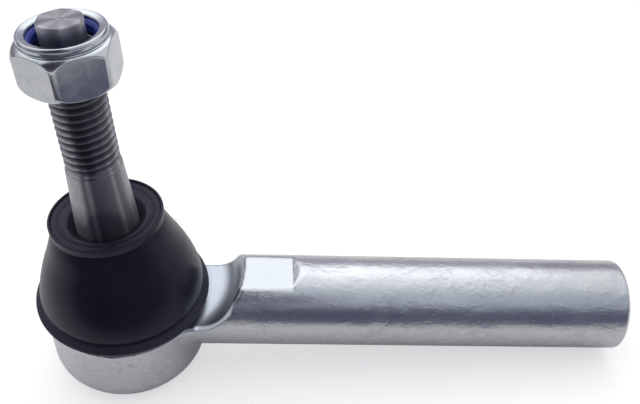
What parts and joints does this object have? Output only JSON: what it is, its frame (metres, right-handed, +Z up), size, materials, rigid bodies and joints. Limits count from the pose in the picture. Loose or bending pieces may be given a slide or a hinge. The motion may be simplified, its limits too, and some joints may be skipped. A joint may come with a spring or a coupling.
{
  "type": "tie rod end",
  "caption": "Steering tie rod end: a ball stud in a forged socket with a rubber dust boot, a threaded tubular shank with wrench flats, and a nylon-insert lock nut.",
  "frame": {"origin": "centre of the end cover's flat underside, straight below the ball centre", "axes": "+Z up through the ball centre, +X along the shank towards its threaded mouth"},
  "size_m": [0.1468, 0.042, 0.0948],
  "materials": {
    "housing_zinc": "bright zinc plating over a forging, scuffed",
    "cover_zinc": "zinc-plated pressing",
    "spring_steel": "oiled spring steel",
    "acetal": "natural acetal, greased",
    "stud_steel": "turned and rolled steel",
    "nut_zinc": "bright zinc plating",
    "nylon": "blue nylon",
    "boot_rubber": "satin black moulded rubber"
  },
  "bodies": {
    "housing": {"housing": "housing_zinc", "end_cover": "cover_zinc", "disc_spring": "spring_steel", "lower_bearing": "acetal", "upper_bearing": "acetal", "boot_base": "boot_rubber", "boot_base_ring": "spring_steel"},
    "boot_wall": {"boot_wall": "boot_rubber"},
    "boot_lip": {"boot_top": "boot_rubber", "boot_top_ring": "spring_steel"},
    "stud": {"ball_stud": "stud_steel"},
    "nut_travel": {"nylon_insert": "nylon"},
    "nut": {"lock_nut": "nut_zinc"}
  },
  "joints": [
    {"name": "stud_tilt_x", "type": "hinge", "parent": "housing", "child": "boot_wall", "pos_m": [0, 0, 0.018], "axis": [1, 0, 0], "range_deg": [-17, 22.9], "deforming": ["boot_wall"]},
    {"name": "stud_tilt_y", "type": "hinge", "parent": "boot_wall", "child": "boot_lip", "pos_m": [0, 0, 0.018], "axis": [0, 0.9987, -0.0511], "range_deg": [-16.6, 23.4]},
    {"name": "stud_spin", "type": "hinge", "parent": "boot_lip", "child": "stud", "pos_m": [0, 0, 0.018], "axis": [-0.0596, 0.051, 0.9969], "continuous": true},
    {"name": "nut_travel", "type": "slide", "parent": "stud", "child": "nut_travel", "axis": [-0.0596, 0.051, 0.9969], "range_m": [-0.01925, 0.00875]},
    {"name": "nut_turn", "type": "hinge", "parent": "nut_travel", "child": "nut", "pos_m": [-0.00405, 0.00347, 0.08579], "axis": [-0.0596, 0.051, 0.9969], "range_deg": [-3961, 1801]}
  ],
  "couplings": [
    {"joint": "nut_turn", "follows": "nut_travel", "rad_per_m": 3590.4}
  ]
}
